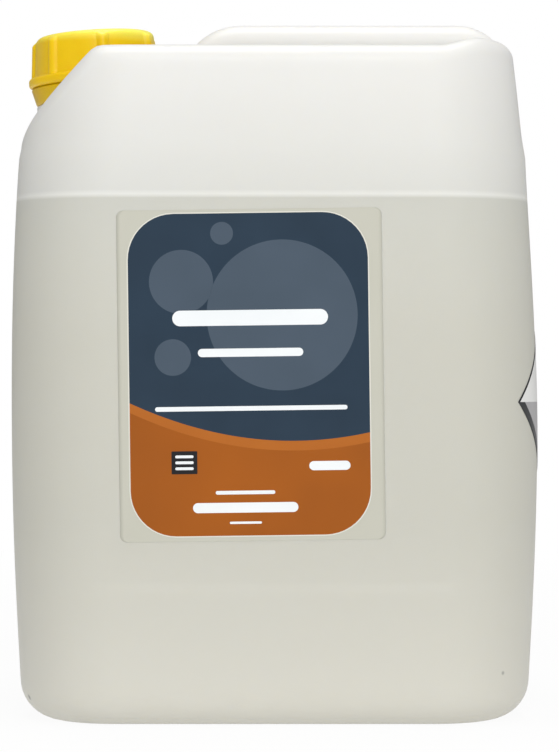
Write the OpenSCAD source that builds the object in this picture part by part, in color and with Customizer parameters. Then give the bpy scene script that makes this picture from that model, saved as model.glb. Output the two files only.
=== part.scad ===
// Ten litre detergent jerrycan: blown can with a grip handle, screw cap, label, sticker and its fill.
// Millimetres. The origin is the middle of the footprint on the floor, +Z is up and the label faces -Y.

/* [Can] */
// Width of the can at its base and at its shoulder
can_w = 227.2; // [210:0.2:240]
// Depth of the can at its base
can_d = 193; // [180:0.5:210]
// Height at which the side walls start to lean in
shoulder_z = 252; // [246:1:254]
// Height of the two long lobes beside the handle
lobe_z = 300; // [298:0.5:304]
// Height of the full-width right-hand end, where the handle runs into it
end_top_z = 304.5; // [302:0.5:307]
// Swelling of each end wall at mid height, from the weight of the fill
swell_w = 4.8; // [0:0.1:6]
// Swelling of the front and the back wall at mid height
swell_d = 1.6; // [0:0.1:4]
// Sideways sag of the upper walls towards the neck
sag = 1.2; // [0:0.1:2]
// Radius of the upright corners
corner_r = 45; // [38:1:50]
// Radius of the bottom edge
base_r = 18; // [14:1:22]
// Radius of the top edge
edge_r = 9; // [7:0.5:11]
// Thickness of the blown wall
wall = 1.6; // [1.2:0.1:2.4]
// Lean of the end walls above the shoulder, as a slope
end_lean = 0.13; // [0:0.01:0.16]
// Lean of the front and the back wall above the shoulder, as a slope
face_lean = 0.05; // [0:0.01:0.08]
// Width of the flat rim that the can stands on
base_rim = 9; // [6:0.5:12]
// Height by which the middle of the floor is pushed up
base_push = 3; // [1:0.5:5]
// Depth of the panel that the label sits in
panel_depth = 0.8; // [0:0.1:1.5]

/* [Top] */
// Half-width of the flat floor between the lobes
trough_half = 36; // [34:1:38]
// Width of the slope from that floor up to each lobe
trough_slope = 14; // [12:1:16]
// Height of the floor under the handle
trough_z = 264; // [260:1:268]
// Length, from the left-hand end, of the slanted end of each lobe
chamfer_in = 34.4; // [32:0.2:37]
// Length of the closed right-hand end, from where the trough starts to rise
trough_end_in = 41.6; // [38:0.2:43]

/* [Handle] */
// Height of the top of the handle
handle_top_z = 318; // [314:1:322]
// Thickness of the grip, seen from the front
grip_t = 22; // [20:1:24]
// Width of the grip, seen from above
grip_w = 28; // [24:1:30]
// Distance from the middle of the neck to the middle of the post beside it
front_post_off = 47.7; // [46:0.1:51]
// Distance of the middle of the other post from the right-hand end
rear_post_in = 15.2; // [14.8:0.1:18]
// Bend radius of the grip's middle line above the post beside the neck
front_bend_r = 18; // [14:1:24]
// Bend radius of the grip's middle line at the right-hand end
rear_bend_r = 13; // [12.5:0.5:16]

/* [Neck] */
// Distance of the middle of the neck, where it leaves the can, from the left-hand end
neck_in = 31.9; // [31.4:0.1:33]
// Height of the sloping shelf at the middle of the neck
shelf_z = 272; // [270:0.5:274]
// Lean of the neck towards the left, in degrees
neck_lean = 3.8; // [0:0.1:5]
// Radius of the ledge at the foot of the neck
ledge_r = 29.2; // [28.8:0.1:29.4]
// Height of that ledge
ledge_h = 9.9; // [9:0.1:10.2]
// Radius of the neck between the threads
neck_r = 24.2; // [23.8:0.1:24.4]
// Radius of the mouth
mouth_r = 20.7; // [18:0.1:21.5]
// Height of the rim over the shelf
neck_h = 38.3; // [37:0.1:39]
// Radius of the bead that holds the ring
bead_r = 26.1; // [25.8:0.1:26.3]
// Height of the lower side of the bead over the shelf
bead_z = 14.6; // [14.4:0.1:15]
// Thickness of the bead
bead_h = 2.2; // [1.5:0.1:2.4]

/* [Cap] */
// Gap between the tamper ring and the cap
ring_gap = 0.5; // [0.4:0.1:1]
// Height of the tamper ring
ring_h = 7.9; // [7.4:0.1:8.2]
// Radius of the tamper ring at its top
ring_top_r = 31.1; // [30.8:0.1:31.4]
// Radius of the tamper ring at its foot
ring_foot_r = 29.5; // [29.2:0.1:30]
// Radius of the round at the foot of the ring
ring_edge_r = 1.4; // [0.6:0.1:1.4]
// Thickness of the tamper ring
ring_t = 1.5; // [1.5:0.1:1.8]
// Radius inside the catch that holds the ring under the neck's bead
catch_r = 25.2; // [24.8:0.1:25.6]
// Radius of the flange at the foot of the cap
flange_r = 32.2; // [31.6:0.1:32.6]
// Height of that flange
flange_h = 4.6; // [3.8:0.1:5]
// Radius of the flange's rounded edge
flange_edge_r = 1.6; // [0.8:0.1:1.9]
// Radius of the cap between its ribs, at its foot
skirt_r = 29.3; // [28.8:0.1:29.8]
// Amount by which the cap's radius is less at its top
cap_draft = 1.3; // [0:0.1:1.5]
// Radius over the ribs
rib_tip_r = 31.1; // [30.8:0.1:31.4]
// Radius of each rib's own round, at its foot
rib_r = 3.2; // [2.6:0.1:3.6]
// Height of the taper that ends each rib
rib_end_h = 2; // [1:0.1:3]
// Radius of the top of that taper
rib_end_r = 0.5; // [0.3:0.1:1]
// Number of grip ribs
rib_count = 7; // [6:1:12]
// Angle of the first rib from the front, in degrees
rib_turn = 10.3; // [0:0.1:44]
// Radius inside the cap
cap_bore_r = 26.5; // [26.3:0.1:27]
// Thickness of the top of the cap
cap_top_t = 2; // [1.5:0.1:2.5]
// Radius of the cap's top edge
cap_edge_r = 3.8; // [2:0.1:4.2]
// Thickness of the sealing disc
liner_t = 1.5; // [1:0.1:2]
// Play around the sealing disc
liner_play = 0.3; // [0.2:0.05:0.5]

/* [Fill] */
// Height of the liquid
level_z = 232.5; // [150:0.5:236]
// Play between the liquid and the wall
fill_play = 0.3; // [0.2:0.05:0.5]

/* [Labels] */
// Width of the front label
label_w = 116; // [100:1:120]
// Height of the front label
label_h = 145; // [120:1:150]
// Middle of the front label across the can
label_x = -10.3; // [-12:0.1:2]
// Middle of the front label above the floor
label_z = 154.5; // [150:0.5:156]
// Tilt of the label on the wall, in degrees
label_tilt = 0.75; // [-1.5:0.05:1.5]
// Radius of the label's corners
label_r = 3; // [1:0.5:6]
// Thickness of the label film
label_t = 0.2; // [0.1:0.05:0.4]
// Side of the square sticker, which stands on its corner
sticker_side = 100; // [80:1:104]
// Middle of the sticker, measured along the wall from where the front corner ends
sticker_along = 41.7; // [30:0.1:52]
// Middle of the sticker above the floor
sticker_z = 142.5; // [120:0.5:160]
// Thickness of the sticker
sticker_t = 0.2; // [0.1:0.05:0.4]

/* [Hidden] */

// Steps in half a corner, and the places of the upright lines on each straight stretch of wall
ARC = 5;
ALONG = [for (i = [-7:6]) i / 7];
ACROSS = [-1, -0.84, -0.69, -0.35, 0, 0.35, 0.69, 0.84];
// Points round each of the grids that close the can, by width and by depth
COLS = 2 * ARC + len(ALONG);
LINES = 2 * ARC + len(ACROSS);
ROUND_FN = 96;
RIB_FN = 32;
EPS = 0.01;

// Height over which the swelling fades out, and the panel's lower and upper edges
swell_top_z = shoulder_z + 10;
panel_low_z = 58.5;
panel_high_z = 236;
panel_edge = 6;
// Heights of the rows of wall points below the shoulder
LOW_ROWS = [base_r, 38, panel_low_z];
MIDDLE_ROWS = [panel_low_z + panel_edge, 95, 130, 170, 200, panel_high_z - panel_edge];
OUTER_ROWS = concat(
    LOW_ROWS, [panel_low_z + panel_edge / 2],
    MIDDLE_ROWS, [panel_high_z - panel_edge / 2, panel_high_z, shoulder_z]
);
INNER_ROWS = concat(LOW_ROWS, MIDDLE_ROWS, [panel_high_z, shoulder_z]);
TOP_ROWS = 3;
EDGE_STEPS = 4;
EDGE_TRIES = 3;
CAP_EDGE_STEPS = 5;
trough_soft = 14;
end_rise = 22;
end_crest = 20;
sag_low_z = 110;
sag_span = 130;
sag_fade = 60;
shelf_reach = 31;
chamfer_soft = 3;
push_soft = 15;

// Places along the can that follow from its ends
neck_x = neck_in - can_w / 2;
chamfer_x = chamfer_in - can_w / 2;
trough_end_x = can_w / 2 - trough_end_in;
front_post_x = neck_x + front_post_off;
rear_post_x = can_w / 2 - rear_post_in;

// Foot of the cap, underside of its top and its top face, over the shelf
cap_z = ledge_h + ring_h + ring_gap;
seat_play = 0.05;
ledge_sink = 8;
bore_sink = 14;
handle_sink = 8;
duct_sink = 14;
liner_z = neck_h + seat_play;
cap_inner_z = liner_z + liner_t + seat_play;
cap_top_z = cap_inner_z + cap_top_t;
lip_play = 0.15;
lip_in = 0.6;
catch_z = 3.3;
catch_h = 0.9;
rib_foot = 0.5;
rib_below = 0.1;

function ease(t) = let (c = max(0, min(1, t))) c * c * (3 - 2 * c);
function mix(a, b, t) = a + (b - a) * t;
// The smaller of two heights, with the crease between them rounded over a width
function soft_min(a, b, w) = let (h = max(w - abs(a - b), 0) / w) min(a, b) - h * h * w / 4;

// Half-width and half-depth of the can at a height
function half_w(z) = can_w / 2 + swell_w * max(0, sin(180 * z / swell_top_z))
    - end_lean * max(0, z - shoulder_z);
function half_d(z) = can_d / 2 + swell_d * max(0, sin(180 * z / swell_top_z))
    - face_lean * max(0, z - shoulder_z);
// Shift of the walls to the left, which fades out again towards the top
function sag_x(z) = sag * ease((z - sag_low_z) / sag_span) * ease((lobe_z - z) / sag_fade);
// Depth of the panel at a height, on a wall that faces the given way
function panel(z, way) = panel_depth * pow(abs(sin(way)), 12)
    * ease((z - panel_low_z) / panel_edge) * ease((panel_high_z - z) / panel_edge);

// Height of the top over each point of the footprint
function crest(x) = mix(lobe_z, end_top_z, ease((x - trough_end_x) / end_crest));
function lobe_height(x) = soft_min(crest(x), lobe_z + x - chamfer_x, chamfer_soft);
function shelf_height(x) = shelf_z + (x - neck_x) * tan(neck_lean);
function middle_height(x) = let (
    low = mix(shelf_height(x), trough_z, ease((x - neck_x - shelf_reach) / trough_soft))
) mix(low, crest(x), ease((x - trough_end_x) / end_rise));
function outer_height(x, y) = mix(
    middle_height(x), lobe_height(x), ease((abs(y) - trough_half) / trough_slope)
);
// The same for a skin that lies a distance inside: the lowest height nearby, less that distance
function top_height(x, y, inward) = inward == 0 ? outer_height(x, y) : min(
    outer_height(x, y), outer_height(x - inward, y), outer_height(x + inward, y),
    outer_height(x, abs(y) - inward)
) - inward;

// One turn round the footprint as [part of half length, part of half depth, way it faces]
function side(places, way) = concat(
    [for (i = [0:ARC - 1]) [-1, way - 45 + 45 * i / ARC]],
    [for (u = places) [u, way]],
    [for (i = [0:ARC - 1]) [1, way + 45 * i / ARC]]
);
FOOTPRINT = concat(
    [for (p = side(ALONG, 270)) [p[0], -1, p[1]]],
    [for (p = side(ACROSS, 360)) [1, p[0], p[1]]],
    [for (p = side(ALONG, 90)) [-p[0], 1, p[1]]],
    [for (p = side(ACROSS, 180)) [-1, -p[0], p[1]]]
);
// Point of the wall at a height, moved inwards by a distance
function wall_point(p, z, inward) = let (r = corner_r - inward - panel(z, p[2])) [
    p[0] * (half_w(z) - corner_r) + r * cos(p[2]) - sag_x(z),
    p[1] * (half_d(z) - corner_r) + r * sin(p[2]),
    z
];
// Height at which the wall meets its rounded top edge, found by stepping towards it
function edge_z(p, inward, z, tries) = tries == 0 ? z : let (
    q = wall_point(p, z, inward)
) edge_z(p, inward, top_height(q[0], q[1], inward) - edge_r, tries - 1);
// Point of the rounded top edge: step 0 is on the wall and step 1 on the top
function edge_point(p, step, inward) = let (
    a = 90 * step,
    r = edge_r,
    q = wall_point(p, edge_z(p, inward, lobe_z - r, EDGE_TRIES), inward + r * (1 - cos(a)))
) [q[0], q[1], top_height(q[0], q[1], inward) - r * (1 - sin(a))];
// Point on the way from the shoulder to the top edge
function rise_point(p, t, inward) = let (
    top = edge_point(p, 0, inward),
    z = mix(shoulder_z, top[2], t)
) wall_point(p, z, inward);

// Ring of points round the bottom edge: step 0 is on the floor and step 1 on the wall
function base_ring(step, inward) = [
    for (p = FOOTPRINT) let (
        r = base_r - inward,
        q = wall_point(p, base_r, inward + r * (1 - sin(90 * step)))
    ) [q[0], q[1], inward + r * (1 - cos(90 * step))]
];

// Grid of points that fills a ring, row by row
function patch(ring) = [
    for (j = [0:LINES]) for (i = [0:COLS]) let (
        s = i / COLS,
        t = j / LINES,
        front = ring[i],
        back = ring[(2 * COLS + LINES - i)],
        left = ring[(len(ring) - j) % len(ring)],
        right = ring[COLS + j],
        c = [ring[0], ring[COLS], ring[2 * COLS + LINES], ring[COLS + LINES]]
    ) (1 - t) * front + t * back + (1 - s) * left + s * right
        - ((1 - s) * (1 - t) * c[0] + s * (1 - t) * c[1] + (1 - s) * t * c[2] + s * t * c[3])
];
// Faces of that grid, facing up or down
function patch_faces(first, m, n, up) = [
    for (j = [0:n - 1]) for (i = [0:m - 1]) let (
        a = first + j * (m + 1) + i,
        b = a + 1,
        c = a + m + 2,
        d = a + m + 1
    ) each (up ? [[a, c, b], [a, d, c]] : [[a, b, c], [a, c, d]])
];
// Number in the grid of each point on its rim, in the order of the ring
function rim(first, m, n) = concat(
    [for (i = [0:m - 1]) first + i],
    [for (j = [0:n - 1]) first + j * (m + 1) + m],
    [for (i = [0:m - 1]) first + n * (m + 1) + m - i],
    [for (j = [0:n - 1]) first + (n - j) * (m + 1)]
);
function band_faces(low, high) = let (n = len(low)) [
    for (i = [0:n - 1]) let (k = (i + 1) % n)
        each [[low[i], high[k], low[k]], [low[i], high[i], high[k]]]
];

// Closed solid from a floor grid, a stack of rings and a top grid
module ring_stack(floor_pts, rings, top_pts) {
    size = len(floor_pts);
    count = len(FOOTPRINT);
    ids = concat(
        [rim(0, COLS, LINES)],
        [for (k = [0:len(rings) - 1]) [for (i = [0:count - 1]) 2 * size + k * count + i]],
        [rim(size, COLS, LINES)]
    );
    polyhedron(
        points = concat(floor_pts, top_pts, [for (ring = rings) each ring]),
        faces = concat(
            patch_faces(0, COLS, LINES, false),
            patch_faces(size, COLS, LINES, true),
            [for (k = [0:len(ids) - 2]) each band_faces(ids[k], ids[k + 1])]
        ),
        convexity = 8
    );
}

// Floor grid: flat along its rim and pushed up in the middle
function floor_grid(inward) = [
    for (q = patch(base_ring(0, inward))) let (
        room = min(can_w / 2 - base_r - abs(q[0]), can_d / 2 - base_r - abs(q[1])) - base_rim
    ) [q[0], q[1], inward + base_push * ease(room / push_soft)]
];
function top_grid(inward) = [
    for (q = patch([for (p = FOOTPRINT) edge_point(p, 1, inward)]))
        [q[0], q[1], top_height(q[0], q[1], inward)]
];
// Rings of the bottom edge and of the walls up to the last of the given heights
function wall_rings(rows, inward) = concat(
    [for (k = [1:EDGE_STEPS - 1]) base_ring(k / EDGE_STEPS, inward)],
    [for (z = rows) [for (p = FOOTPRINT) wall_point(p, z, inward)]]
);

// The whole blown form, moved inwards by a distance
module can_form(rows, inward) {
    ring_stack(
        floor_grid(inward),
        concat(
            wall_rings(rows, inward),
            [for (k = [1:TOP_ROWS]) [for (p = FOOTPRINT) rise_point(p, k / TOP_ROWS, inward)]],
            [for (k = [1:EDGE_STEPS - 1]) [for (p = FOOTPRINT) edge_point(p, k / EDGE_STEPS, inward)]]
        ),
        top_grid(inward)
    );
}

// Middle line of the handle as [x, z, slope], from the post by the neck to the right-hand end
grip_z = handle_top_z - grip_t / 2;
BEND_STEPS = 7;
function handle_line(depth) = concat(
    [[front_post_x, trough_z - depth, 90]],
    [for (k = [0:BEND_STEPS]) let (a = 180 - 90 * k / BEND_STEPS) [
        front_post_x + front_bend_r * (1 + cos(a)), grip_z + front_bend_r * (sin(a) - 1), a - 90
    ]],
    [for (k = [0:BEND_STEPS]) let (a = 90 - 90 * k / BEND_STEPS) [
        rear_post_x + rear_bend_r * (cos(a) - 1), grip_z + rear_bend_r * (sin(a) - 1), a - 90
    ]],
    [[rear_post_x, trough_z - depth, -90]]
);
// Rounded section of the grip
function grip_section(w, t, sides) = [
    for (k = [0:sides - 1]) let (
        a = 360 * (k + 0.5) / sides,
        c = cos(a),
        s = sin(a)
    ) [w / 2 * sign(c) * pow(abs(c), 0.75), t / 2 * sign(s) * pow(abs(s), 0.75)]
];
module handle_form(inward, sides, depth) {
    line = handle_line(depth);
    section = grip_section(grip_w - 2 * inward, grip_t - 2 * inward, sides);
    points = [for (q = line) for (s = section) [q[0] - s[1] * sin(q[2]), s[0], q[1] + s[1] * cos(q[2])]];
    last = len(line) - 1;
    polyhedron(
        points = points,
        faces = concat(
            [[for (i = [0:sides - 1]) i]],
            [[for (i = [sides - 1:-1:0]) last * sides + i]],
            [for (k = [0:last - 1]) for (i = [0:sides - 1]) let (
                a = k * sides + i,
                b = k * sides + (i + 1) % sides
            ) each [[a, a + sides, b], [b, a + sides, b + sides]]]
        ),
        convexity = 6
    );
}

// Moves its children to the foot of the leaning neck
module at_neck() {
    translate([neck_x, 0, shelf_z]) rotate([0, -neck_lean, 0]) children();
}

module neck_outside() {
    at_neck() {
        translate([0, 0, -ledge_sink]) cylinder(r = ledge_r, h = ledge_h + ledge_sink, $fn = ROUND_FN);
        cylinder(r = neck_r, h = neck_h, $fn = ROUND_FN);
        translate([0, 0, bead_z]) cylinder(r = bead_r, h = bead_h, $fn = ROUND_FN);
    }
}

module jerrycan() {
    color([0.9, 0.89, 0.85, 0.7]) difference() {
        union() {
            can_form(OUTER_ROWS, 0);
            handle_form(0, 20, handle_sink);
            neck_outside();
        }
        can_form(INNER_ROWS, wall);
        handle_form(wall, 12, duct_sink);
        at_neck() translate([0, 0, -bore_sink])
            cylinder(r = mouth_r, h = neck_h + bore_sink + 1, $fn = ROUND_FN);
    }
}

module detergent() {
    inward = wall + fill_play;
    color([0.83, 0.82, 0.77, 0.6]) ring_stack(
        floor_grid(inward),
        wall_rings([for (z = concat(LOW_ROWS, MIDDLE_ROWS)) if (z < level_z - 1) z], inward),
        patch([for (p = FOOTPRINT) wall_point(p, level_z, inward)])
    );
}

// Outline of the ring: rounded foot, thin lip up to the cap, and the catch inside
function ring_profile() = let (
    e = ring_edge_r,
    lip_z = ring_h + ring_gap - lip_play
) concat(
    [[ring_foot_r - ring_t, 0]],
    [for (a = [-90:30:0]) [ring_foot_r - e + e * cos(a), e + e * sin(a)]],
    [
        [ring_top_r, ring_h - lip_in], [ring_top_r - lip_in, ring_h], [ring_top_r - lip_in, lip_z],
        [ring_top_r - ring_t, lip_z], [ring_top_r - ring_t, catch_z + 2 * catch_h],
        [catch_r, catch_z + catch_h], [catch_r, catch_z], [ring_foot_r - ring_t, catch_z - catch_h]
    ]
);
module tamper_band() {
    color([0.68, 0.6, 0.24]) at_neck() translate([0, 0, ledge_h])
        rotate_extrude($fn = ROUND_FN) polygon(ring_profile());
}

module cap_liner() {
    color([0.93, 0.93, 0.9]) at_neck() translate([0, 0, liner_z])
        cylinder(r = cap_bore_r - liner_play, h = liner_t, $fn = ROUND_FN);
}

// Outline of the cap from its foot to the middle of its top: flange, drafted skirt and round edge
function cap_profile() = let (
    e = flange_edge_r,
    top_r = skirt_r - cap_draft
) concat(
    [[0, cap_z]],
    [for (a = [-90:30:0]) [flange_r - e + e * cos(a), cap_z + e + e * sin(a)]],
    [for (a = [0:30:90]) [flange_r - e + e * cos(a), cap_z + flange_h - e + e * sin(a)]],
    [[skirt_r, cap_z + flange_h]],
    [for (k = [0:CAP_EDGE_STEPS]) let (a = 90 * k / CAP_EDGE_STEPS) [
        top_r - cap_edge_r * (1 - cos(a)), cap_top_z - cap_edge_r * (1 - sin(a))
    ]],
    [[0, cap_top_z]]
);
module cap_rib() {
    rib_h = cap_top_z - cap_edge_r - rib_end_h - cap_z - rib_foot - rib_below;
    translate([rib_tip_r - rib_r, 0, cap_z + rib_foot]) {
        cylinder(r1 = rib_r, r2 = rib_r - cap_draft, h = rib_h, $fn = RIB_FN);
        translate([0, 0, rib_h]) cylinder(r1 = rib_r - cap_draft, r2 = rib_end_r, h = rib_end_h, $fn = RIB_FN);
    }
}
module screw_cap() {
    color([0.93, 0.79, 0.17]) at_neck() difference() {
        union() {
            rotate_extrude($fn = ROUND_FN) polygon(cap_profile());
            for (k = [0:rib_count - 1]) rotate([0, 0, rib_turn - 90 + 360 * k / rib_count]) cap_rib();
        }
        translate([0, 0, cap_z - 1]) cylinder(r = cap_bore_r, h = cap_inner_z - cap_z + 1, $fn = ROUND_FN);
    }
}

// Thin sheet that lies on a wall, from a grid of points on the wall and the same grid moved out
module sheet(inner_pts, outer_pts, m, n) {
    size = (m + 1) * (n + 1);
    inner_rim = rim(0, m, n);
    outer_rim = rim(size, m, n);
    polyhedron(
        points = concat(inner_pts, outer_pts),
        faces = concat(
            patch_faces(0, m, n, true),
            patch_faces(size, m, n, false),
            band_faces(outer_rim, inner_rim)
        ),
        convexity = 4
    );
}

// Half-width of the label at a height over its middle, less at the rounded corners
function label_half(up) = let (
    over = max(0, abs(up) - (label_h / 2 - label_r))
) label_w / 2 - label_r + sqrt(max(0, label_r * label_r - over * over));
LABEL_ROWS = concat(
    [for (k = [0:3]) -label_h / 2 + label_r * (1 - cos(90 * k / 4))],
    [for (k = [0:12]) mix(-label_h / 2 + label_r, label_h / 2 - label_r, k / 12)],
    [for (k = [3:-1:0]) label_h / 2 - label_r * (1 - cos(90 * k / 4))]
);
module front_label() {
    function grid(out) = [
        for (up = LABEL_ROWS) for (side = [-1:1]) let (
            across = side * label_half(up),
            x = label_x + across * cos(label_tilt) - up * sin(label_tilt),
            z = label_z + up * cos(label_tilt) + across * sin(label_tilt)
        ) [x, -half_d(z) + panel(z, 270) - out, z]
    ];
    color([0.24, 0.31, 0.39]) sheet(grid(EPS), grid(EPS + label_t), 2, len(LABEL_ROWS) - 1);
}

// Point on the right-hand end wall, a length along it from where the front corner ends
function end_wall_point(along, z, out) = let (
    straight = 2 * (half_d(z) - corner_r),
    r = corner_r + out,
    turn = along < 0 ? along / corner_r * 180 / PI
        : along > straight ? (along - straight) / corner_r * 180 / PI : 0
) [
    half_w(z) - corner_r + r * cos(turn) - sag_x(z),
    (corner_r - half_d(z)) + max(0, min(straight, along)) + r * sin(turn),
    z
];
STICKER_STEPS = 12;
module end_sticker() {
    half = sticker_side / 2;
    function grid(out) = [
        for (j = [0:STICKER_STEPS]) for (i = [0:STICKER_STEPS]) let (
            p = half * (2 * i / STICKER_STEPS - 1),
            q = half * (2 * j / STICKER_STEPS - 1)
        ) end_wall_point(sticker_along + (p - q) / sqrt(2), sticker_z + (p + q) / sqrt(2), out)
    ];
    color([0.8, 0.8, 0.8]) sheet(grid(EPS), grid(EPS + sticker_t), STICKER_STEPS, STICKER_STEPS);
}

jerrycan();
detergent();
tamper_band();
cap_liner();
screw_cap();
front_label();
end_sticker();
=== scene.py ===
"""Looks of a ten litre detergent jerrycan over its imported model, in metres, +Z up, label towards -Y."""

import math

import bpy
import numpy as np
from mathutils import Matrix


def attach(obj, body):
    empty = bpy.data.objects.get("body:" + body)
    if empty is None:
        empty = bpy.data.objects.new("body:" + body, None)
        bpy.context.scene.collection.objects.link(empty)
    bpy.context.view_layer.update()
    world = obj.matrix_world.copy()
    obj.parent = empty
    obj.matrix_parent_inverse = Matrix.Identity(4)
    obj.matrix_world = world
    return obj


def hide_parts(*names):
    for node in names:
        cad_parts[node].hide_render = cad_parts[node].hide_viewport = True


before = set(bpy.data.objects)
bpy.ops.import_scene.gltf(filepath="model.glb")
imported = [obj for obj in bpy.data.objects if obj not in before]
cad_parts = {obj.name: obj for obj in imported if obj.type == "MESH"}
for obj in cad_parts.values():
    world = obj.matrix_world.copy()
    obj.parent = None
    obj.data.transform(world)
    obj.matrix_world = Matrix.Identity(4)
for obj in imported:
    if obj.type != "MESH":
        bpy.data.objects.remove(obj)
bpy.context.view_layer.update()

# Can: the same form as the solid, in metres
CAN_WIDTH = 0.2272
CAN_DEPTH = 0.193
SHOULDER_Z = 0.252
LOBE_Z = 0.300
END_TOP_Z = 0.3045
SWELL_WIDE = 0.0048
SWELL_DEEP = 0.0016
SWELL_TOP_Z = SHOULDER_Z + 0.010
SAG = 0.0012
SAG_LOW_Z = 0.110
SAG_SPAN = 0.130
SAG_FADE = 0.060
CORNER_R = 0.045
BASE_R = 0.018
EDGE_R = 0.009
EDGE_TRIES = 3
WALL = 0.0016
END_LEAN = 0.13
FACE_LEAN = 0.05
BASE_RIM = 0.009
BASE_PUSH = 0.003
PUSH_SOFT = 0.015
PANEL_DEPTH = 0.0008
PANEL_LOW_Z = 0.0585
PANEL_HIGH_Z = 0.236
PANEL_EDGE = 0.006
PANEL_POWER = 12
TROUGH_HALF = 0.036
TROUGH_SLOPE = 0.014
TROUGH_Z = 0.264
TROUGH_SOFT = 0.014
TROUGH_END_X = CAN_WIDTH / 2 - 0.0416
END_RISE = 0.022
END_CREST = 0.020
SHELF_REACH = 0.031
CHAMFER_X = 0.0344 - CAN_WIDTH / 2
CHAMFER_SOFT = 0.003
LEVEL_Z = 0.2325

# Neck, ring and cap, measured along the leaning neck from the shelf
NECK_X = 0.0319 - CAN_WIDTH / 2
SHELF_Z = 0.272
NECK_LEAN = math.radians(3.8)
LEDGE_R = 0.0292
LEDGE_H = 0.0099
NECK_R = 0.0242
MOUTH_R = 0.0207
NECK_H = 0.0383
NECK_SINK = 0.009
NECK_EDGE_R = 0.0008
BORE_FOOT = -0.014
BORE_TOP = 0.006
BEAD_R = 0.0261
BEAD_Z = 0.0146
BEAD_H = 0.0022
THREAD_PITCH = 0.006
THREAD_TURNS = 1.75
THREAD_BELOW = 0.0032
THREAD_FADE = 0.06
THREAD_RISE = 0.0023
THREAD_HALF = 0.0016
THREAD_POWER = 0.8
THREAD_SINK = 0.0006
THREAD_ROOT = 0.0008
RING_GAP = 0.0005
RING_H = 0.0079
RING_TOP_R = 0.0311
RING_FOOT_R = 0.0295
RING_EDGE_R = 0.0014
RING_T = 0.0015
LIP_PLAY = 0.00015
LIP_IN = 0.0006
CATCH_R = 0.0252
CATCH_Z = 0.0033
CATCH_H = 0.0009
FLANGE_R = 0.0322
FLANGE_H = 0.0046
FLANGE_EDGE_R = 0.0016
SKIRT_R = 0.0293
CAP_DRAFT = 0.0013
RIB_TIP_R = 0.0311
RIB_COUNT = 7
RIB_TURN = 10.3
RIB_HALF = 0.0030
RIB_POWER = 0.7
FLAT_HOLLOW = 0.0004
FOOT_FILLET = 0.0004
CAP_BORE_R = 0.0265
CAP_TOP_T = 0.002
CAP_EDGE_R = 0.0038
CAP_SMALL_R = 0.0007
CAP_DISH = 0.0005
DISH_RADII = (0.018, 0.008)
CAP_PIN_R = 0.0002
LINER_T = 0.0015
SEAT_PLAY = 0.00005
CAP_Z = LEDGE_H + RING_H + RING_GAP
CAP_INNER_Z = NECK_H + LINER_T + 2 * SEAT_PLAY
CAP_TOP_Z = CAP_INNER_Z + CAP_TOP_T

# Handle
HANDLE_TOP_Z = 0.318
GRIP_THICK = 0.022
GRIP_WIDE = 0.028
FRONT_POST_X = NECK_X + 0.0477
REAR_POST_X = CAN_WIDTH / 2 - 0.0152
FRONT_BEND_R = 0.018
REAR_BEND_R = 0.013
POST_SINK = 0.008
GRIP_POWER = 0.75
FLARE = 0.55
FLARE_FADE = 0.0045

# Labels
LABEL_W = 0.116
LABEL_H = 0.145
LABEL_X = -0.0103
LABEL_Z = 0.1545
LABEL_TILT = math.radians(0.75)
LABEL_R = 0.003
FILM_T = 0.0001
STICKER_SIDE = 0.100
STICKER_ALONG = 0.0392
STICKER_Z = 0.1425
STICKER_T = 0.0002
RIM_LIFT = 0.00002


def ease(t):
    """Smooth step from 0 to 1: 3t^2 - 2t^3, held at its ends."""
    t = np.clip(t, 0, 1)
    return t * t * (3 - 2 * t)


def mix(a, b, t):
    """The value a share t of the way from a to b."""
    return a + (b - a) * t


def soft_min(a, b, width):
    """The smaller of two heights, less a parabola where they are closer than width."""
    h = np.maximum(width - np.abs(a - b), 0) / width
    return np.minimum(a, b) - h * h * width / 4


def srgb(red, green, blue):
    """Linear colour of an sRGB triple of 0 to 255."""
    c = np.array([red, green, blue]) / 255
    linear = np.where(c <= 0.04045, c / 12.92, ((c + 0.055) / 1.055) ** 2.4)
    return tuple(float(x) for x in linear) + (1.0,)


def swell(z):
    """Half a sine wave from the floor to just over the shoulder, and nothing above it."""
    return np.maximum(0, np.sin(np.pi * z / SWELL_TOP_Z))


def half_width(z):
    """Half the can's width: base plus the swell of the fill, less the lean over the shoulder."""
    return CAN_WIDTH / 2 + SWELL_WIDE * swell(z) - END_LEAN * np.maximum(0, z - SHOULDER_Z)


def half_depth(z):
    """Half the can's depth, made up as half_width is."""
    return CAN_DEPTH / 2 + SWELL_DEEP * swell(z) - FACE_LEAN * np.maximum(0, z - SHOULDER_Z)


def sag_shift(z):
    """Shift of the walls to the left: rises over the upper half and fades out towards the top."""
    return SAG * ease((z - SAG_LOW_Z) / SAG_SPAN) * ease((LOBE_Z - z) / SAG_FADE)


def panel(z, way):
    """Depth of the label panel: full on the flat of a broad wall, fading at the corners and two edges."""
    rise = ease((z - PANEL_LOW_Z) / PANEL_EDGE) * ease((PANEL_HIGH_Z - z) / PANEL_EDGE)
    return PANEL_DEPTH * np.abs(np.sin(way)) ** PANEL_POWER * rise


def crest(x):
    """Height of the top's high parts: level, and a little higher at the right-hand end."""
    return mix(LOBE_Z, END_TOP_Z, ease((x - TROUGH_END_X) / END_CREST))


def lobe_height(x):
    """Top of the lobes: the crest, with a 45 degree slant to the left of CHAMFER_X."""
    return soft_min(crest(x), LOBE_Z + x - CHAMFER_X, CHAMFER_SOFT)


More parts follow.
